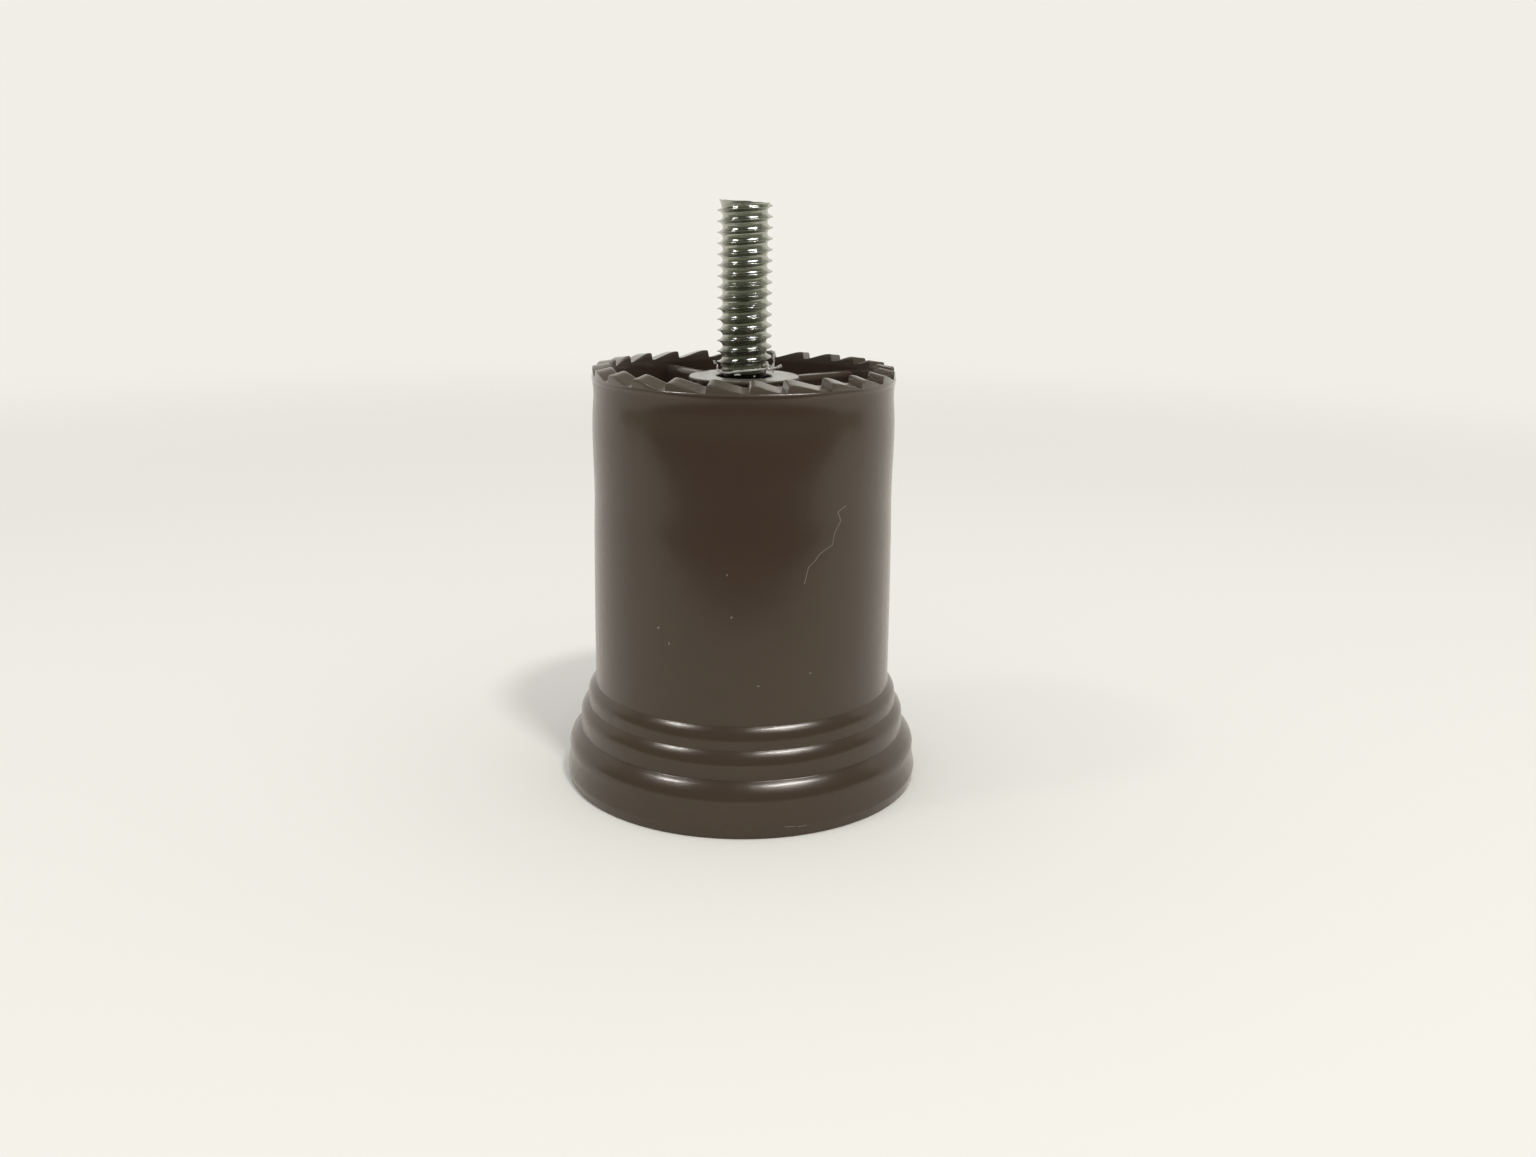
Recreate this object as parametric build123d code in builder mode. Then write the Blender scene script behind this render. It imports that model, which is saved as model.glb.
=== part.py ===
"""Screw-in furniture leg: a moulded plastic leg with a toothed rim, and the threaded steel stud driven into it.

Millimetres. The origin is the middle of the flat underside, +Z runs up the leg's axis, and -Y faces the viewer.
"""

import os
from math import cos, radians, sin, tan

from build123d import *

# Flared base. The lip under its moulding line narrows towards the floor.
base_height = 7.2
lip_height = 1.45
lip_radius = 25.55
foot_radius = 25.85
waist_radius = 25.1
base_face_radius = 25.25
base_shoulder_drop = 2.3
base_top_radius = 23.75

# Two stepped rings above the base. Each has a leaning face and a rounded shoulder.
lower_ring_height = 4.25
lower_ring_bottom_radius = 23.65
lower_ring_face_radius = 23.25
lower_ring_shoulder_drop = 1.9
lower_ring_top_radius = 22.65
upper_ring_height = 3.05
upper_ring_bottom_radius = 22.6
upper_ring_face_radius = 22.25
upper_ring_shoulder_drop = 1.6
upper_ring_top_radius = 21.45

# How far a shoulder keeps to its face and to its top before it turns, as shares of its own drop and width.
shoulder_face_share = 0.75
shoulder_top_share = 0.35

# Round wall, drafted inwards, with a shallow neck under the rim.
leg_height = 58.45
wall_foot_radius = 21.4
wall_top_radius = 21.1
neck_length = 5.6
neck_drop = 2.4
neck_radius = 20.86
rim_radius = 21.1
wall_thickness = 2.4
cavity_draft = 0.4
floor_thickness = 2.6

# Saw teeth on the rim. Their inner ends stand higher, and their steep faces lean back a little.
tooth_count = 24
tooth_height = 1.05
tooth_azimuth = 273.15
tooth_setback = 0.12
tooth_rise = 0.25
tooth_lean = 0.18

# Boss in the middle, with its flange, the four ribs that hold it and the hole for the stud.
boss_radius = 6.0
flange_radius = 7.67
flange_thickness = 0.55
flange_edge_rounding = 0.15
flange_drop = 0.25
rib_count = 4
rib_azimuth = 36.0
rib_thickness = 2.5
rib_drop = 0.5
rib_edge_rounding = 0.7
recess_radius = 4.15
recess_depth = 0.8

# Threaded stud. Its thread is a stack of rings, one for each pitch. Below the recess it is a plain rod.
thread_crest_radius = 3.81
thread_grip_radius = 3.5
thread_pitch = 1.4465
thread_angle = 60
thread_crest_share = 1 / 8
thread_root_share = 1 / 4
thread_first_crest = 1.6
stud_length = 44.45
stud_reach = 23.6
tip_chamfer_length = 0.9
tip_chamfer_depth = 0.45

# Heights and radii that follow from the sizes above.
lower_ring_top = base_height + lower_ring_height
upper_ring_top = lower_ring_top + upper_ring_height
tooth_tip = leg_height + tooth_height
tooth_radius = rim_radius - tooth_setback
cavity_radius = rim_radius - wall_thickness
cavity_depth = tooth_tip + tooth_rise - floor_thickness
flange_top = leg_height - flange_drop
rib_top = flange_top - rib_drop
recess_floor = flange_top - recess_depth
stud_top = flange_top + stud_reach
stud_bottom = stud_top - stud_length

# The thread: its depth, the heights of its crests, and one ridge's outline about its crest's middle.
flank_height = thread_pitch * (1 - thread_crest_share - thread_root_share) / 2
thread_depth = flank_height / tan(radians(thread_angle / 2))
thread_root_radius = thread_crest_radius - thread_depth
lowest_crest = recess_floor + thread_first_crest
crest_count = 1 + int((stud_top - tip_chamfer_length - lowest_crest) / thread_pitch)
ridge_foot = thread_pitch * (1 - thread_root_share) / 2
ridge_crest = thread_pitch * thread_crest_share / 2
ridge_outline = [
    (thread_root_radius, -ridge_foot),
    (thread_crest_radius, -ridge_crest),
    (thread_crest_radius, ridge_crest),
    (thread_root_radius, ridge_foot),
]


def shoulder(face_radius, top_radius, top, drop):
    """Round from the top of a leaning face to the flat top of its step."""
    face_top = top - drop
    return Bezier(
        (face_radius, face_top),
        (face_radius, face_top + shoulder_face_share * drop),
        (face_radius - shoulder_top_share * (face_radius - top_radius), top),
        (top_radius, top),
    )


def radial_plane(azimuth, distance):
    """Plane square to a radius. Its own X runs counter-clockwise round the leg, and its Y runs up."""
    outwards = Vector(cos(radians(azimuth)), sin(radians(azimuth)), 0)
    sideways = Vector(-sin(radians(azimuth)), cos(radians(azimuth)), 0)
    return Plane(origin=outwards * distance, x_dir=sideways, z_dir=outwards)


def gap_section(distance):
    """Space above one tooth's ramp, cut square to the radius at the foot of the next steep face."""
    inwards_share = (tooth_radius - distance) / (tooth_radius - cavity_radius)
    rise = tooth_rise * inwards_share
    spacing = distance * tan(radians(360 / tooth_count))
    clear_top = tooth_tip + tooth_rise + tooth_height
    clear_lean = tooth_lean * (clear_top - leg_height - rise) / tooth_height
    with BuildSketch(radial_plane(0, distance)) as section:
        with BuildLine():
            Polyline(
                (0, leg_height + rise),
                (clear_lean, clear_top),
                (tooth_lean - spacing, clear_top),
                (tooth_lean - spacing, tooth_tip + rise),
                close=True,
            )
        make_face()
    return section.sketch


# One gap between two teeth, as a cutter that overruns the wall on both sides.
with BuildPart() as tooth_gap:
    loft([gap_section(cavity_radius - tooth_height), gap_section(rim_radius + tooth_height)], ruled=True)

# The leg: one moulding.
with BuildPart() as leg_body:
    with BuildSketch(Plane.XZ):
        with BuildLine():
            Polyline((0, tooth_tip), (0, 0), (lip_radius, 0), (foot_radius, lip_height))
            Bezier(
                (foot_radius, lip_height),
                (waist_radius, lip_height + (base_height - lip_height) / 6),
                (waist_radius, lip_height + (base_height - lip_height) / 3),
                (base_face_radius, base_height - base_shoulder_drop),
            )
            shoulder(base_face_radius, base_top_radius, base_height, base_shoulder_drop)
            Polyline(
                (base_top_radius, base_height),
                (lower_ring_bottom_radius, base_height),
                (lower_ring_face_radius, lower_ring_top - lower_ring_shoulder_drop),
            )
            shoulder(lower_ring_face_radius, lower_ring_top_radius, lower_ring_top, lower_ring_shoulder_drop)
            Polyline(
                (lower_ring_top_radius, lower_ring_top),
                (upper_ring_bottom_radius, lower_ring_top),
                (upper_ring_face_radius, upper_ring_top - upper_ring_shoulder_drop),
            )
            shoulder(upper_ring_face_radius, upper_ring_top_radius, upper_ring_top, upper_ring_shoulder_drop)
            Polyline(
                (upper_ring_top_radius, upper_ring_top),
                (wall_foot_radius, upper_ring_top),
                (wall_top_radius, leg_height - neck_length),
            )
            Spline(
                (wall_top_radius, leg_height - neck_length),
                (neck_radius, leg_height - neck_drop),
                (rim_radius, leg_height),
                tangents=[(0, 1), (0, 1)],
            )
            Polyline(
                (rim_radius, leg_height),
                (tooth_radius, leg_height),
                (tooth_radius, tooth_tip),
                (cavity_radius, tooth_tip + tooth_rise),
                (0, tooth_tip + tooth_rise),
                (0, tooth_tip),
            )
        make_face()
    revolve(axis=Axis.Z)

    with Locations((0, 0, floor_thickness)):
        Cone(
            bottom_radius=cavity_radius - cavity_draft,
            top_radius=cavity_radius,
            height=cavity_depth,
            align=(Align.CENTER, Align.CENTER, Align.MIN),
            mode=Mode.SUBTRACT,
        )

    with PolarLocations(0, tooth_count, start_angle=tooth_azimuth):
        add(tooth_gap.part, mode=Mode.SUBTRACT)

    with BuildSketch(Plane.XY.offset(floor_thickness)):
        Circle(boss_radius)
    extrude(amount=flange_top - flange_thickness - floor_thickness)

    with BuildSketch(Plane.XY.offset(flange_top - flange_thickness)):
        Circle(flange_radius)
    extrude(amount=flange_thickness)
    flange_edges = leg_body.edges(Select.LAST).filter_by(GeomType.CIRCLE).filter_by(
        lambda edge: edge.radius > boss_radius
    )
    fillet(flange_edges, flange_edge_rounding)

    rib_planes = [radial_plane(rib_azimuth + 360 / rib_count * i, 0) for i in range(rib_count)]
    with BuildSketch(*rib_planes) as rib_section:
        with Locations((0, rib_top)):
            Rectangle(rib_thickness, rib_top - floor_thickness, align=(Align.CENTER, Align.MAX))
        fillet(rib_section.vertices().group_by(Axis.Y)[-1], rib_edge_rounding)
    extrude(amount=cavity_radius + wall_thickness / 2)

    with BuildSketch(Plane.XY.offset(recess_floor)):
        Circle(recess_radius)
    extrude(amount=recess_depth, mode=Mode.SUBTRACT)

    with BuildSketch(Plane.XY.offset(stud_bottom)):
        Circle(thread_grip_radius)
    extrude(amount=recess_floor - stud_bottom, mode=Mode.SUBTRACT)

# The stud: steel rod. Its topmost ridge runs into the tip's chamfer.
crest_heights = [lowest_crest + thread_pitch * i for i in range(crest_count)]
ridges = [(radius, crest + height) for crest in crest_heights for radius, height in ridge_outline]
with BuildPart() as threaded_stud:
    with BuildSketch(Plane.XZ):
        with BuildLine():
            Polyline(
                (0, stud_top),
                (0, stud_bottom),
                (thread_grip_radius, stud_bottom),
                (thread_grip_radius, recess_floor),
                (thread_root_radius, recess_floor),
                *ridges[:-2],
                (thread_crest_radius, stud_top - tip_chamfer_length),
                (thread_crest_radius - tip_chamfer_depth, stud_top),
                close=True,
            )
        make_face()
    revolve(axis=Axis.Z)

leg_body.part.label = "leg_body"
threaded_stud.part.label = "threaded_stud"
os.makedirs("parts", exist_ok=True)
export_step(leg_body.part, "parts/leg_body.step")
export_step(threaded_stud.part, "parts/threaded_stud.step")
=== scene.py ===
import math
import random

import bmesh
import bpy
from mathutils import Matrix, Vector, noise
from mathutils.geometry import interpolate_bezier


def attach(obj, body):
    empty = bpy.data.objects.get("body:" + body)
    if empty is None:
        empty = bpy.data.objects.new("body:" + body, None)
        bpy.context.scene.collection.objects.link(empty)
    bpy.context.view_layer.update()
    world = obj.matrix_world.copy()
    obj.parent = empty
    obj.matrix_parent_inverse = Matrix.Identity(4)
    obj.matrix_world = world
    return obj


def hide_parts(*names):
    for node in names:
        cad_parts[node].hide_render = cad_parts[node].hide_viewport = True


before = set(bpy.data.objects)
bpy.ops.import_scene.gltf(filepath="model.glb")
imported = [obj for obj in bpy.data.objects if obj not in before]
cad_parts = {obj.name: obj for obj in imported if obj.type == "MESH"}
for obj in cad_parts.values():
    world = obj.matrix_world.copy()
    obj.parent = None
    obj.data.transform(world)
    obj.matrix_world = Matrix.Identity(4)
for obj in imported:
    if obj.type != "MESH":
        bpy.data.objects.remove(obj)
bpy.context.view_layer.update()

# Camera. A phone's wide lens, held low in front of the leg and turned a little out of level.
camera_place = (0.003664, -0.19507, 0.08287)
camera_tilt = 74.54
camera_roll = 0.69
camera_data = bpy.data.cameras.new("camera")
camera_data.lens = 32.8
camera_data.sensor_width = 36.0
camera_data.clip_start = 0.01
camera = bpy.data.objects.new("camera", camera_data)
camera.matrix_world = (
    Matrix.Translation(camera_place)
    @ Matrix.Rotation(math.radians(camera_tilt), 4, "X")
    @ Matrix.Rotation(math.radians(camera_roll), 4, "Z")
)
bpy.context.scene.collection.objects.link(camera)
bpy.context.scene.camera = camera
bpy.context.scene.view_settings.view_transform = "Standard"

# Set and light. A plain pale floor that fades into a pale background, two small lamps high in front, and
# even light from all round. A dome of dark flags stands in front and overhead, with two bright cards under
# it. Only reflections see the flags and the cards.
paper = (0.875, 0.86, 0.80)


class Output:
    """An output of a shader node that can stand in a Python expression."""

    def __init__(self, shader, socket):
        self.shader = shader
        self.socket = socket

    def __add__(self, other):
        return self.shader.maths("ADD", self, other)

    def __radd__(self, other):
        return self.shader.maths("ADD", other, self)

    def __sub__(self, other):
        return self.shader.maths("SUBTRACT", self, other)

    def __rsub__(self, other):
        return self.shader.maths("SUBTRACT", other, self)

    def __mul__(self, other):
        return self.shader.maths("MULTIPLY", self, other)

    def __rmul__(self, other):
        return self.shader.maths("MULTIPLY", other, self)


class Shader:
    """The node tree of a material or of the world, filled by expressions."""

    def __init__(self, tree):
        self.tree = tree
        tree.nodes.clear()

    def add(self, kind, settings=None, inputs=None, output=0):
        """One node: its settings first, then the values or links of its sockets."""
        node = self.tree.nodes.new(kind)
        for name, value in (settings or {}).items():
            setattr(node, name, value)
        for name, value in (inputs or {}).items():
            if isinstance(value, Output):
                self.tree.links.new(value.socket, node.inputs[name])
            else:
                node.inputs[name].default_value = value
        return Output(self, node.outputs[output] if node.outputs else None)

    def maths(self, operation, *values):
        """Math node on one or two values."""
        return self.add("ShaderNodeMath", {"operation": operation}, dict(enumerate(values)))

    def place(self):
        """Object coordinates in millimetres, as a vector and as X, Y and Z."""
        metres = self.add("ShaderNodeTexCoord", output="Object")
        vector = self.add("ShaderNodeVectorMath", {"operation": "SCALE"}, {0: metres, "Scale": 1000.0})
        split = self.add("ShaderNodeSeparateXYZ", inputs={0: vector}).socket.node
        return vector, *[Output(self, split.outputs[axis]) for axis in "XYZ"]

    def ramp(self, value, start, end):
        """Soft step of a value, from 0 at start to 1 at end."""
        settings = {"interpolation_type": "SMOOTHSTEP"}
        inputs = {"Value": value, "From Min": start, "From Max": end}
        return self.add("ShaderNodeMapRange", settings, inputs)

    def noise(self, vector, scale, detail):
        """Soft random pattern between 0 and 1."""
        inputs = {"Vector": vector, "Scale": scale, "Detail": detail}
        return self.add("ShaderNodeTexNoise", inputs=inputs)

    def blend(self, factor, first, second):
        """Mix of two colours."""
        inputs = {0: factor, 6: first, 7: second}
        return self.add("ShaderNodeMix", {"data_type": "RGBA"}, inputs, output=2)

    def blend_surfaces(self, factor, first, second):
        """Mix of two surfaces."""
        return self.add("ShaderNodeMixShader", inputs={0: factor, 1: first, 2: second})

    def finish(self, surface, kind="ShaderNodeOutputMaterial"):
        self.add(kind, inputs={"Surface": surface})


def new_shader(name):
    """Empty material, and the shader that fills it."""
    material = bpy.data.materials.new(name)
    material.use_nodes = True
    return material, Shader(material.node_tree)


def new_object(name, mesh_builder, material):
    """Object at the origin from a bmesh in millimetres."""
    bmesh.ops.scale(mesh_builder, vec=(0.001, 0.001, 0.001), verts=mesh_builder.verts)
    mesh = bpy.data.meshes.new(name)
    mesh_builder.to_mesh(mesh)
    mesh_builder.free()
    mesh.materials.append(material)
    made = bpy.data.objects.new(name, mesh)
    bpy.context.scene.collection.objects.link(made)
    return made


floor_radius = 600.0
floor_drop = 0.02
fade_start = 230.0
fade_end = 560.0
paper_material, shader = new_shader("pale_paper")
vector = shader.place()[0]
away = shader.add("ShaderNodeVectorMath", {"operation": "LENGTH"}, {0: vector}, output="Value")
paper_surface = shader.add("ShaderNodeBsdfDiffuse", inputs={"Color": (*paper, 1.0)})
clear = shader.add("ShaderNodeBsdfTransparent")
shader.finish(shader.blend_surfaces(shader.ramp(away, fade_start, fade_end), paper_surface, clear))

floor_mesh = bmesh.new()
bmesh.ops.create_circle(
    floor_mesh, cap_ends=True, segments=96, radius=floor_radius,
    matrix=Matrix.Translation((0, 0, -floor_drop)),
)
floor = new_object("floor", floor_mesh, paper_material)

dome_radius = 560.0
dome_lift = 0.3
flag_material, shader = new_shader("dark_flag")
y, z = shader.place()[2:]
above_table = shader.ramp(z, 2.0, 12.0)
table_edge = 1.0 - shader.ramp(y, -152.0, -104.0)
front_room = (1.0 - shader.ramp(y, 40.0, 150.0)) * above_table
overhead = shader.ramp(z, 330.0, 420.0)
shown = shader.maths("MAXIMUM", shader.maths("MAXIMUM", table_edge, front_room), overhead)
gloom = shader.blend(above_table, (0.02, 0.017, 0.014, 1.0), (0.25, 0.27, 0.19, 1.0))
gloom = shader.blend(overhead, gloom, (0.18, 0.19, 0.14, 1.0))
clear = shader.add("ShaderNodeBsdfTransparent")
dark = shader.add("ShaderNodeEmission", inputs={"Color": gloom})
shader.finish(shader.blend_surfaces(shown, clear, dark))

flag_mesh = bmesh.new()
bmesh.ops.create_uvsphere(flag_mesh, u_segments=48, v_segments=24, radius=dome_radius)
bmesh.ops.bisect_plane(
    flag_mesh, geom=flag_mesh.verts[:] + flag_mesh.edges[:] + flag_mesh.faces[:],
    plane_co=(0, 0, 0), plane_no=(0, 0, 1), clear_inner=True,
)
bmesh.ops.create_circle(
    flag_mesh, cap_ends=True, segments=48, radius=dome_radius,
    matrix=Matrix.Translation((0, 0, dome_lift)),
)
flags = new_object("flags", flag_mesh, flag_material)
flags.visible_camera = False
flags.visible_diffuse = False
flags.visible_shadow = False
flags.visible_transmission = False

world = bpy.data.worlds.new("pale_room")
world.use_nodes = True
bpy.context.scene.world = world
shader = Shader(world.node_tree)
rays = shader.add("ShaderNodeLightPath").socket.node
seen = Output(shader, rays.outputs["Is Camera Ray"]) + Output(shader, rays.outputs["Is Glossy Ray"])
seen = shader.maths("MINIMUM", seen + Output(shader, rays.outputs["Is Transmission Ray"]), 1.0)
room_light = 0.74
tint = shader.blend(seen, (room_light, room_light, room_light, 1.0), (*paper, 1.0))
shader.finish(shader.add("ShaderNodeBackground", inputs={"Color": tint}), "ShaderNodeOutputWorld")


lamp_distance = 0.75
lamp_aim = (0, 0, 0.03)


def add_lamp(name, direction, size, power):
    """Disc lamp that looks at the leg's middle from a direction, and that reflections don't see."""
    data = bpy.data.lights.new(name, "AREA")
    data.shape = "DISK"
    data.size = size
    data.energy = power
    data.color = (1.0, 0.985, 0.95)
    lamp = bpy.data.objects.new(name, data)
    toward = Vector(direction).normalized()
    turned = toward.to_track_quat("Z", "Y").to_matrix().to_4x4()
    lamp.matrix_world = Matrix.Translation(toward * lamp_distance + Vector(lamp_aim)) @ turned
    lamp.visible_glossy = False
    bpy.context.scene.collection.objects.link(lamp)


add_lamp("right_lamp", (0.25, -0.45, 0.86), 0.085, 1.7)
add_lamp("left_lamp", (-0.60, -0.22, 0.77), 0.10, 0.30)

card_distance = 500.0
card_strength = 66.0
card_colour = (0.98, 0.97, 1.08, 1.0)
for name, direction, lengthwise, width, depth in (
    ("right_card", (0.355, -0.279, 0.890), (0.814, 0.534, -0.227), 300.0, 36.0),
    ("left_card", (-0.505, -0.183, 0.843), (-0.69, 0.66, -0.31), 150.0, 34.0),
):
    toward = Vector(direction).normalized()
    up_card = toward.cross(Vector(lengthwise)).normalized()
    turned = Matrix((up_card.cross(toward), up_card, toward)).transposed().to_4x4()
    middle = toward * card_distance
    card_material, shader = new_shader(name)
    inputs = {0: shader.place()[0], 1: middle}
    from_middle = shader.add("ShaderNodeVectorMath", {"operation": "DISTANCE"}, inputs, output="Value")
    glow = shader.blend(shader.ramp(from_middle, width / 2, width / 10), (0, 0, 0, 1.0), card_colour)
    shader.finish(shader.add("ShaderNodeEmission", inputs={"Color": glow, "Strength": card_strength}))
    card_mesh = bmesh.new()
    bmesh.ops.create_grid(
        card_mesh, x_segments=1, y_segments=1, size=0.5,
        matrix=Matrix.Translation(middle) @ turned @ Matrix.Diagonal((width, depth, 1.0, 1.0)),
    )
    card = new_object(name, card_mesh, card_material)
    card.visible_camera = False
    card.visible_diffuse = False
    card.visible_shadow = False

# Leg. One injection moulding in dark brown plastic: a flared base with two stepped rings, a hollow round
# wall with saw teeth on its rim, and inside it a boss with a thin flange, held by four ribs.
tooth_count = 24
tooth_azimuth = 272.55
tooth_height = 1.05
root_height = 58.43
root_rise = 0.25
tooth_rise = 0.42
tooth_tilt = 0.17
turn_start = 54.0
turn_height = 3.0
rim_outside = 20.96
rim_inside = 18.66
wall_draft = 0.4
base_leans = (8, 15, 27, 38, 42, 45, 50, 54)
ring_leans = (8, 15, 25, 36, 42, 45, 51)

# Points along one tooth, from the foot of its steep face on, and their shares of its height.
ramp_places = (0.0, 0.03, 0.045, 0.065, 0.1, 0.16, 0.25, 0.36, 0.48, 0.6, 0.72, 0.80, 0.86, 0.95)
ramp_heights = (0.0, 0.86, 0.95, 0.985, 1.0, 0.985, 0.91, 0.77, 0.60, 0.42, 0.24, 0.12, 0.04, 0.0)


def curve(start, first_handle, second_handle, end, points=8):
    """Points on a Bezier curve in the profile's plane, without its start."""
    knots = [Vector((*point, 0)) for point in (start, first_handle, second_handle, end)]
    return [(p.x, p.y) for p in interpolate_bezier(*knots, points + 1)[1:]]


def leaning(point, lean, distance):
    """Point at a distance up a slope that leans inwards by an angle from upright."""
    radius, height = point
    angle = math.radians(lean)
    return radius - distance * math.sin(angle), height + distance * math.cos(angle)


def shoulder(start, length, leans, steps=6):
    """Rounding from a step's upright face up to its sloping top, through the leans at even spaces."""
    points = [start]
    for lean, next_lean in zip(leans, leans[1:]):
        for step in range(steps):
            middle_lean = lean + (next_lean - lean) * (step + 0.5) / steps
            points.append(leaning(points[-1], middle_lean, length / steps / (len(leans) - 1)))
    return points[1:]


def spin_profile(mesh_builder, profile, steps):
    """Revolves (radius, height) points round the leg's axis, and closes the seam and the poles."""
    verts = [mesh_builder.verts.new((radius, 0, height)) for radius, height in profile]
    edges = [mesh_builder.edges.new(pair) for pair in zip(verts, verts[1:])]
    bmesh.ops.spin(
        mesh_builder, geom=verts + edges, cent=(0, 0, 0), axis=(0, 0, 1), angle=2 * math.pi,
        steps=steps, use_merge=True,
    )
    bmesh.ops.remove_doubles(mesh_builder, verts=mesh_builder.verts, dist=0.0005)
    bmesh.ops.recalc_face_normals(mesh_builder, faces=mesh_builder.faces)


outside = [(0, 0.35), (17.0, 0.35)]
outside += curve((17.0, 0.35), (17.3, 0.35), (17.2, 0.0), (17.6, 0.0), 4)
outside += [(25.3, 0.0)]
outside += curve((25.3, 0.0), (25.42, 0.0), (25.46, 0.05), (25.48, 0.2), 3)
outside += [(25.60, 1.2)]
outside += curve((25.60, 1.2), (25.645, 1.42), (25.645, 1.52), (25.61, 1.75), 6)
outside += curve((25.61, 1.75), (25.42, 2.85), (25.25, 3.75), (25.25, 4.3), 10)
outside += [(25.28, 5.08)]
outside += shoulder(outside[-1], 3.0, base_leans)
outside += curve(outside[-1], leaning(outside[-1], base_leans[-1], 0.08), (23.595, 7.53), (23.59, 7.64), 4)
outside += [(23.57, 9.6)]
outside += shoulder(outside[-1], 2.05, ring_leans)
outside += curve(outside[-1], leaning(outside[-1], ring_leans[-1], 0.06), (22.515, 11.35), (22.51, 11.46), 4)
outside += [(22.44, 12.65)]
outside += shoulder(outside[-1], 2.0, ring_leans)
outside += curve(outside[-1], leaning(outside[-1], ring_leans[-1], 0.06), (21.385, 14.46), (21.38, 14.56), 4)
outside += [(21.37, 14.9)]
outside += curve((21.37, 14.9), (21.30, 16.5), (21.30, 18.5), (21.29, 21.0), 6)
outside += curve((21.29, 21.0), (21.25, 27.0), (21.22, 30.0), (21.15, 34.5), 8)
outside += curve((21.15, 34.5), (21.12, 38.0), (20.99, 40.0), (20.98, 42.0), 8)
outside += curve((20.98, 42.0), (20.97, 45.0), (21.09, 47.5), (21.10, 50.0), 8)
outside += curve((21.10, 50.0), (21.11, 54.0), (20.86, 54.6), (20.86, 56.0), 8)
outside += curve((20.86, 56.0), (20.86, 57.2), (21.05, 57.6), (21.08, 58.12), 6)
outside += curve((21.08, 58.12), (21.09, 58.22), (21.03, 58.37), (rim_outside, root_height), 6)
rim = [(rim_outside, root_height + 0.3), (rim_outside, root_height + 0.75)]
rim += curve(rim[-1], (rim_outside, 59.46), (20.94, 59.5), (20.84, root_height + tooth_height + 0.02), 3)
rim += [(20.2, 59.54), (19.5, 59.62), (18.95, 59.69)]
rim += curve(rim[-1], (18.75, 59.71), (rim_inside, 59.7), (rim_inside, 59.5), 3)
inside = [(rim_inside, 59.0), (rim_inside, root_height), (18.62, 50.0), (18.5, 30.0), (18.32, 4.2)]
inside += curve(inside[-1], (18.3, 3.2), (17.8, 2.62), (16.8, 2.6), 5)
inside += [(6.0, 2.6), (0, 2.6)]

chance = random.Random(8)
tooth_turns = [chance.uniform(-0.12, 0.12) for tooth in range(tooth_count)]
tooth_turns[0] = 0.35
tooth_turns[1] = -1.4
tooth_turns[2] = 0.5
tooth_sizes = [chance.uniform(0.94, 1.0) for tooth in range(tooth_count)]

# The wall is spun with one column for each point of each tooth. Then its rim drops between the teeth.
columns = tooth_count * len(ramp_places)
leg_mesh = bmesh.new()
spin_profile(leg_mesh, outside + rim + inside, columns)
for vert in leg_mesh.verts:
    radius = vert.co.xy.length
    if radius < rim_inside - wall_draft:
        continue
    column = round(math.degrees(math.atan2(vert.co.y, vert.co.x)) / 360 * columns)
    tooth, place = divmod(column % columns, len(ramp_places))
    next_turn = tooth_turns[(tooth + 1) % tooth_count]
    near_rim = min(max((vert.co.z - turn_start) / turn_height, 0.0), 1.0)
    turn = tooth_turns[tooth] + (next_turn - tooth_turns[tooth]) * ramp_places[place]
    azimuth = tooth_azimuth + (tooth + ramp_places[place]) * 360 / tooth_count + turn * near_rim
    azimuth = math.radians(azimuth)
    inward = min(max((rim_outside - radius) / (rim_outside - rim_inside), 0.0), 1.0)
    root = root_height + root_rise * inward
    if vert.co.z > root + 0.01:
        extra_rise = (tooth_rise - root_rise - tooth_tilt * math.sin(azimuth)) * inward
        vert.co.z = root + extra_rise + (vert.co.z - root) * ramp_heights[place] * tooth_sizes[tooth]
    vert.co.xy = radius * math.cos(azimuth), radius * math.sin(azimuth)

boss_radius = 6.0
boss_foot = 2.4
flange_radius = 7.68
flange_bottom = 57.4
flange_top = 58.2
hole_radius = 3.9
hole_floor = 56.9
bore_radius = 3.5
bore_floor = 37.3
boss = [(0, boss_foot), (boss_radius, boss_foot), (boss_radius, 57.25)]
boss += curve(boss[-1], (boss_radius, 57.36), (6.1, flange_bottom), (6.25, flange_bottom), 3)
boss += [(7.3, flange_bottom)]
boss += curve(boss[-1], (7.52, flange_bottom), (flange_radius, 57.6), (flange_radius, 57.92), 4)
boss += curve((flange_radius, 57.92), (flange_radius, 58.12), (7.6, flange_top), (7.4, flange_top), 4)
boss += [(6.2, flange_top), (4.1, flange_top)]
boss += curve(boss[-1], (3.95, flange_top), (hole_radius, 58.15), (hole_radius, 58.0), 3)
boss += [(hole_radius, hole_floor), (bore_radius, hole_floor), (bore_radius, bore_floor), (0, bore_floor)]
boss_mesh = bmesh.new()
spin_profile(boss_mesh, boss, 96)
boss_copy = bpy.data.meshes.new("boss_copy")
boss_mesh.to_mesh(boss_copy)
boss_mesh.free()
leg_mesh.from_mesh(boss_copy)
bpy.data.meshes.remove(boss_copy)

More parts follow.
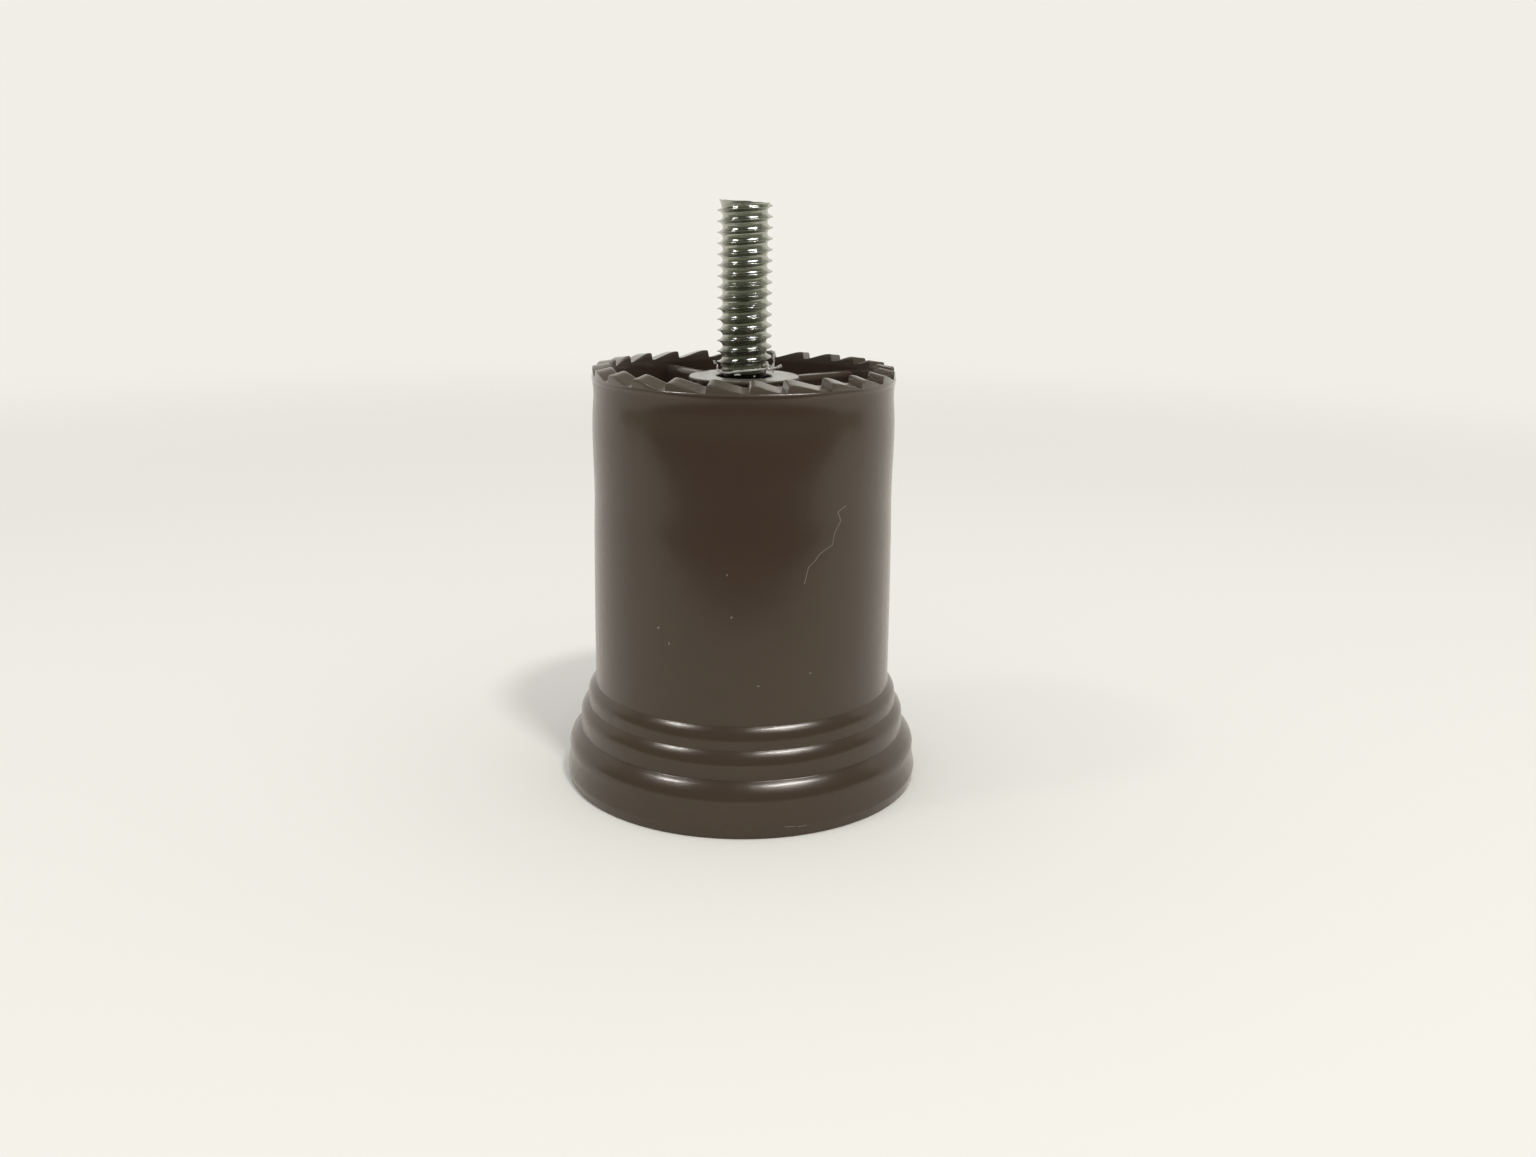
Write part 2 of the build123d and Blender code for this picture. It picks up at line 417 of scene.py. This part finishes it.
rib_count = 4
rib_azimuth = 36.0
rib_length = 14.2
rib_thickness = 2.5
rib_height = 55.1
rib_foot = 2.55
rib_middle = 11.9
rib_rounding = 0.85
for turn in range(rib_count):
    rib = bmesh.ops.create_cube(leg_mesh, size=1.0)["verts"]
    bmesh.ops.scale(leg_mesh, vec=(rib_length, rib_thickness, rib_height), verts=rib)
    bmesh.ops.translate(leg_mesh, vec=(rib_middle, 0, rib_foot + rib_height / 2), verts=rib)
    top_edges = [
        edge for edge in {edge for vert in rib for edge in vert.link_edges}
        if min(vert.co.z for vert in edge.verts) > rib_foot + rib_height / 2
        and abs(edge.verts[0].co.y - edge.verts[1].co.y) < rib_thickness / 2
    ]
    rounded = bmesh.ops.bevel(
        leg_mesh, geom=top_edges, offset=rib_rounding, segments=5, profile=0.5, affect="EDGES",
        material=-1,
    )
    rib_verts = {vert for face in rounded["faces"] for vert in face.verts}
    rib_verts |= {vert for vert in rib if vert.is_valid}
    bmesh.ops.rotate(
        leg_mesh, verts=list(rib_verts), cent=(0, 0, 0),
        matrix=Matrix.Rotation(math.radians(rib_azimuth + 360 / rib_count * turn), 3, "Z"),
    )

brown_plastic, shader = new_shader("brown_plastic")
vector, x, y, z = shader.place()
tone = shader.noise(vector, 0.12, 3.0)
colour = shader.blend(tone, (0.044, 0.0265, 0.0192, 1.0), (0.050, 0.0305, 0.0222, 1.0))

# Pale marks on the front, as places in X and Z: one long hairline scratch, and nicks and two painted glints,
# with their ends and widths.
hairline = (
    (13.75, 43.33), (12.68, 42.64), (13.12, 41.43), (12.35, 40.01), (12.05, 38.38),
    (10.4, 37.41), (9.76, 36.55), (8.92, 35.77), (8.43, 33.6),
)
hairline_width = 0.055
nicks_and_glints = [
    ((-1.08, 29.4), (-1.0, 29.5), 0.14), ((2.52, 20.04), (2.6, 20.0), 0.13),
    ((-1.62, 35.05), (-1.6, 35.2), 0.11), ((-10.82, 27.0), (-10.7, 27.1), 0.15),
    ((-9.32, 25.05), (-9.3, 25.2), 0.12), ((9.4, 21.22), (9.5, 21.2), 0.13),
    # The last two are painted glints: thin pale lines along the parting ridge at the front right, where its
    # flash catches the light.
    ((6.32, 1.62), (7.7, 1.5), 0.05), ((8.0, 1.42), (9.2, 1.46), 0.05),
]
marks = [(start, end, hairline_width) for start, end in zip(hairline, hairline[1:])] + nicks_and_glints
wear_and_glints = 0.0
for start, end, width in marks:
    along = Vector(end) - Vector(start)
    unit = along.normalized()
    share = (x - start[0]) * unit.x + (z - start[1]) * unit.y
    share = shader.add("ShaderNodeClamp", inputs={"Value": share, "Min": 0.0, "Max": along.length})
    aside = x - start[0] - share * unit.x
    above = z - start[1] - share * unit.y
    near = shader.ramp(aside * aside + above * above, width * width, width * width / 6)
    wear_and_glints = near + wear_and_glints
wear_and_glints = wear_and_glints * (1.0 - shader.ramp(y, -8.0, -6.0))
# The scratches and nicks are paler plastic; the two lines on the parting ridge are painted glints.
colour = shader.blend(wear_and_glints, colour, (0.17, 0.145, 0.125, 1.0))
# Painted sheen: the teeth and the rim's top are painted paler, for the pale backdrop that their matt faces
# reflect.
painted_teeth_sheen = shader.ramp(z, 58.0, 58.5) * 0.6
colour = shader.blend(painted_teeth_sheen, colour, (0.082, 0.066, 0.052, 1.0))
top_faces = shader.ramp(z, 57.5, 57.8)
ragged = shader.ramp(z, 58.45, 58.7) * shader.ramp(x, 9.0, 12.0) * (1.0 - shader.ramp(y, -2.0, 1.0))
peel = shader.noise(vector, 0.55, 1.0) * 0.00002
grain = shader.noise(vector, 4.0, 2.0) * (top_faces * 0.000006 + ragged * 0.00014)
bump = shader.add("ShaderNodeBump", inputs={"Strength": 1.0, "Distance": 1.0, "Height": peel + grain})
surface = shader.add(
    "ShaderNodeBsdfPrincipled",
    inputs={
        "Base Color": colour, "Roughness": 0.25 - top_faces * 0.03, "IOR": 1.5,
        "Specular IOR Level": 0.43, "Specular Tint": (1.0, 0.97, 0.78, 1.0),
        "Coat Weight": 0.16 + top_faces * 0.3, "Coat Roughness": 0.09,
        "Sheen Weight": 0.27, "Sheen Roughness": 0.35, "Sheen Tint": (1.0, 0.94, 0.80, 1.0),
        "Normal": bump,
    },
)
shader.finish(surface)

leg = new_object("leg_moulding", leg_mesh, brown_plastic)
leg.data.shade_smooth()
leg.data.set_sharp_from_angle(angle=math.radians(38))
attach(leg, "root")
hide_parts("leg_body")

# Stud. Steel rod with a rolled 60 degree thread all along it, bright zinc plate, sheared off at its end
# and driven into the boss. The boss has stripped the crest of the last turn above it.
pitch = 1.4465
crest_radius = 3.8
root_radius = 3.03
stud_bottom = 37.4
stud_top = 81.78
thread_phase = 0.06
thread_start = 55.0
thread_turns = 20
turn_steps = 48
last_turn = 40
buried_cut = 56.5
chamfer_height = 0.95
tip_radius = 3.4
tip_rounding = 0.18
tip_slope = 0.055

# Half of one groove, from its root to the crest, as (depth, distance along the axis) points.
half_groove = [(0.0, 0.0), (0.02, 0.13), (0.07, 0.25), (0.16, 0.37), (0.30, 0.49), (0.48, 0.59)]
half_groove += [(0.65, 0.634), (0.715, 0.658), (0.752, 0.688)]
groove = [(root_radius + depth, along) for depth, along in half_groove]
groove += [(crest_radius - 0.006, pitch / 2)]
groove += [(root_radius + depth, pitch - along) for depth, along in reversed(half_groove)]
first_turn = round((thread_start - thread_phase + pitch / 2) / pitch)
first_crest = first_turn * pitch + thread_phase - pitch / 2
stud_mesh = bmesh.new()
verts = [stud_mesh.verts.new((radius, 0, first_crest + height)) for radius, height in groove]
edges = [stud_mesh.edges.new(pair) for pair in zip(verts, verts[1:])]
bmesh.ops.spin(
    stud_mesh, geom=verts + edges, cent=(0, 0, 0), axis=(0, 0, 1), dvec=(0, 0, pitch / turn_steps),
    angle=2 * math.pi * thread_turns, steps=turn_steps * thread_turns, use_merge=False,
)
bmesh.ops.remove_doubles(stud_mesh, verts=stud_mesh.verts, dist=0.002)
for height, direction in ((buried_cut, (0, 0, -1)), (stud_top - tip_rounding, (tip_slope, 0, 1))):
    cut = bmesh.ops.bisect_plane(
        stud_mesh, geom=stud_mesh.verts[:] + stud_mesh.edges[:] + stud_mesh.faces[:], dist=0.001,
        plane_co=(0, 0, height), plane_no=direction, clear_outer=True,
    )
    loop = [item for item in cut["geom_cut"] if isinstance(item, bmesh.types.BMEdge)]
    end = bmesh.ops.edgeloop_fill(stud_mesh, edges=loop)["faces"]
    if direction[2] < 0:
        buried = bmesh.ops.extrude_discrete_faces(stud_mesh, faces=end)["faces"]
        bmesh.ops.translate(stud_mesh, vec=(0, 0, stud_bottom - buried_cut), verts=buried[0].verts)
    else:
        tip_faces = end

# Each point in turn: chamfered at the tip, stripped in the last turn, and left a little uneven all over.
for vert in stud_mesh.verts:
    into_tip = (vert.co.z - (stud_top - chamfer_height)) / chamfer_height
    if into_tip > 0:
        limit = crest_radius + 0.08 - (crest_radius - tip_radius) * min(1.0, 1.7 * into_tip)
        low_radius = min(max(vert.co.xy.length, tip_radius - 0.2 + 0.25 * into_tip), limit)
        if vert.co.xy.length > 1.0:
            vert.co.xy *= low_radius / vert.co.xy.length
        if vert.co.z > stud_top - 2 * tip_rounding - tip_slope * vert.co.x:
            vert.co.z += 0.09 * noise.noise(vert.co * 1.3) - 0.02
    rough = noise.noise(vert.co * 2.2) * 0.02 + noise.noise(vert.co * 6.0) * 0.008
    turned = math.atan2(vert.co.y, vert.co.x) / (2 * math.pi) % 1.0
    below = thread_phase + pitch * (last_turn + 0.5 + turned) - vert.co.z
    if below > 0 and vert.co.z > buried_cut - 0.5:
        torn_depth = 0.1 + 0.12 * noise.noise(vert.co * 3.0) if below < pitch / 2 else -0.12
        vert.co.xy *= min(1.0, (root_radius + torn_depth) / vert.co.xy.length)
    if vert.co.xy.length > 1.0:
        vert.co.xy *= 1.0 + rough / crest_radius
for thickness, depth in ((0.07, 0.18), (0.12, 0.14), (0.14, 0.06), (0.2, 0.02)):
    bmesh.ops.inset_region(stud_mesh, faces=tip_faces, thickness=thickness, depth=depth)
bmesh.ops.recalc_face_normals(stud_mesh, faces=stud_mesh.faces)

zinc, shader = new_shader("zinc_plate")
vector, x, y, z = shader.place()
dull = shader.noise(vector, 1.6, 3.0)
turned = (z - thread_phase) * (2 * math.pi / pitch) - shader.maths("ARCTAN2", y, x)
across = shader.maths("COSINE", turned)
upward = shader.maths("SINE", turned)
rolled_place = shader.add("ShaderNodeCombineXYZ", inputs={0: across * 1.5, 1: upward * 1.5, 2: z * 0.15})
rolled = shader.noise(rolled_place, 1.0, 1.0)
fine = shader.noise(vector, 3.0, 1.0)
in_root = shader.ramp(across, 0.8, 0.2)
bump_height = rolled * in_root * 0.00010 + fine * 0.0000015
bump = shader.add("ShaderNodeBump", inputs={"Strength": 1.0, "Distance": 1.0, "Height": bump_height})
plate = shader.blend(dull, (0.38, 0.385, 0.335, 1.0), (0.52, 0.525, 0.465, 1.0))
# Painted reflection: the stud is painted darker towards the bottom, for the dark, oily hole below that it
# reflects.
hole_reflection = 1.0 - shader.ramp(z, 59.3, 66.0)
plate = shader.blend(hole_reflection * 0.6, plate, (0.20, 0.20, 0.165, 1.0))
# Painted shade: inside the hole the stud is painted nearly black.
hole_shade = 1.0 - shader.ramp(z, 58.6, 59.0)
plate = shader.blend(hole_shade, plate, (0.03, 0.026, 0.022, 1.0))
surface = shader.add(
    "ShaderNodeBsdfPrincipled",
    inputs={"Base Color": plate, "Metallic": 1.0, "Roughness": 0.10 + dull * 0.14, "Normal": bump},
)
shader.finish(surface)

stud = new_object("stud", stud_mesh, zinc)
stud.data.shade_smooth()
stud.data.set_sharp_from_angle(angle=math.radians(50))
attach(stud, "root")
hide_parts("threaded_stud")

# Shavings. The crest of the last turn, torn off by the boss: a ragged ring round the stud, a hook, a curl
# and a few bits beside it, in the same zinc plated steel.
chance = random.Random(21)


def tear(mesh_builder, width, thickness, places):
    """Sweeps a flat ragged section along the places, and closes its ends."""
    knots = [Vector(place) for place in places]
    points = []
    for index in range(len(knots) - 1):
        before, after = knots[max(index - 1, 0)], knots[min(index + 2, len(knots) - 1)]
        start, end = knots[index], knots[index + 1]
        first_handle, second_handle = start + (end - before) / 6, end - (after - start) / 6
        points += interpolate_bezier(start, first_handle, second_handle, end, 5)[:-1]
    points.append(knots[-1])
    ring = bmesh.ops.create_circle(mesh_builder, cap_ends=True, segments=6, radius=1.0)["verts"]
    last = Matrix()
    edges = list({edge for vert in ring for edge in vert.link_edges})
    for index, point in enumerate(points):
        ahead = points[min(index + 1, len(points) - 1)] - points[max(index - 1, 0)]
        taper = 0.35 if index in (0, len(points) - 1) else chance.uniform(0.7, 1.2)
        section = Matrix.Diagonal((thickness / 2 * taper, width / 2 * taper, 1.0, 1.0))
        turned = ahead.to_track_quat("Z", "Y").to_matrix().to_4x4()
        place = Matrix.Translation(point) @ turned @ section
        if index:
            swept = bmesh.ops.extrude_edge_only(mesh_builder, edges=edges)["geom"]
            ring = [item for item in swept if isinstance(item, bmesh.types.BMVert)]
            edges = [item for item in swept if isinstance(item, bmesh.types.BMEdge)]
        bmesh.ops.transform(mesh_builder, matrix=place @ last.inverted(), verts=ring)
        last = place
    bmesh.ops.contextual_create(mesh_builder, geom=edges)


# Width, thickness and course of each shaving.
shavings = (
    (0.30, 0.20, (
        (-3.65, 0.1, 59.65), (-3.72, -0.3, 59.1), (-3.3, -1.3, 58.85), (-2.62, -2.15, 58.8),
        (-1.94, -2.72, 58.84), (-1.14, -3.12, 59.05), (0.0, -3.3, 59.2), (1.14, -3.12, 59.27),
        (2.23, -2.5, 59.33), (3.07, -1.3, 59.34), (3.3, -0.2, 59.75), (3.1, 1.2, 59.5),
        (2.0, 2.6, 59.3), (0.0, 3.3, 59.2), (-2.0, 2.6, 59.2), (-3.3, 1.0, 59.4),
    )),
    (0.38, 0.16, (
        (3.38, -0.8, 61.55), (3.75, -0.95, 61.66), (4.08, -1.0, 61.5), (4.2, -1.0, 61.1),
        (4.05, -1.0, 60.7), (4.12, -1.05, 60.25), (3.98, -1.1, 59.6), (3.62, -1.2, 59.15),
    )),
    (0.46, 0.24, ((3.2, -1.5, 60.35), (3.1, -1.6, 59.9), (3.22, -1.65, 59.55), (3.4, -1.6, 59.25))),
    (0.30, 0.20, ((3.5, -1.8, 59.2), (4.0, -1.95, 59.42), (4.6, -2.0, 59.58))),
    (0.46, 0.32, ((4.5, -2.0, 59.55), (4.85, -2.05, 59.68), (5.2, -2.0, 59.82))),
    (0.32, 0.24, ((-4.15, -0.8, 60.3), (-4.08, -0.8, 60.05), (-3.95, -0.75, 59.85))),
    (0.15, 0.12, ((-3.85, -0.6, 59.9), (-3.6, -1.0, 59.5), (-3.75, -1.1, 59.1), (-3.5, -1.3, 58.75))),
    (0.20, 0.14, ((-1.3, -3.62, 58.66), (-0.9, -3.72, 58.72), (-0.4, -3.75, 58.7))),
    (0.16, 0.12, ((1.35, -3.62, 58.5), (1.6, -3.6, 58.52))),
    (0.16, 0.12, ((3.8, -1.2, 58.7), (4.1, -1.0, 59.0), (4.0, -1.5, 59.3))),
)
shavings_mesh = bmesh.new()
for width, thickness, places in shavings:
    tear(shavings_mesh, width, thickness, places)
bmesh.ops.recalc_face_normals(shavings_mesh, faces=shavings_mesh.faces)

torn_steel, shader = new_shader("torn_steel")
grime = shader.noise(shader.place()[0], 2.5, 3.0)
surface = shader.add(
    "ShaderNodeBsdfPrincipled",
    inputs={
        "Base Color": shader.blend(grime, (0.62, 0.60, 0.53, 1.0), (0.95, 0.93, 0.86, 1.0)),
        "Metallic": 0.4,
        "Roughness": 0.3 + grime * 0.15,
    },
)
shader.finish(surface)

torn = new_object("shavings", shavings_mesh, torn_steel)
torn.data.shade_smooth()
torn.data.set_sharp_from_angle(angle=math.radians(45))
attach(torn, "root")
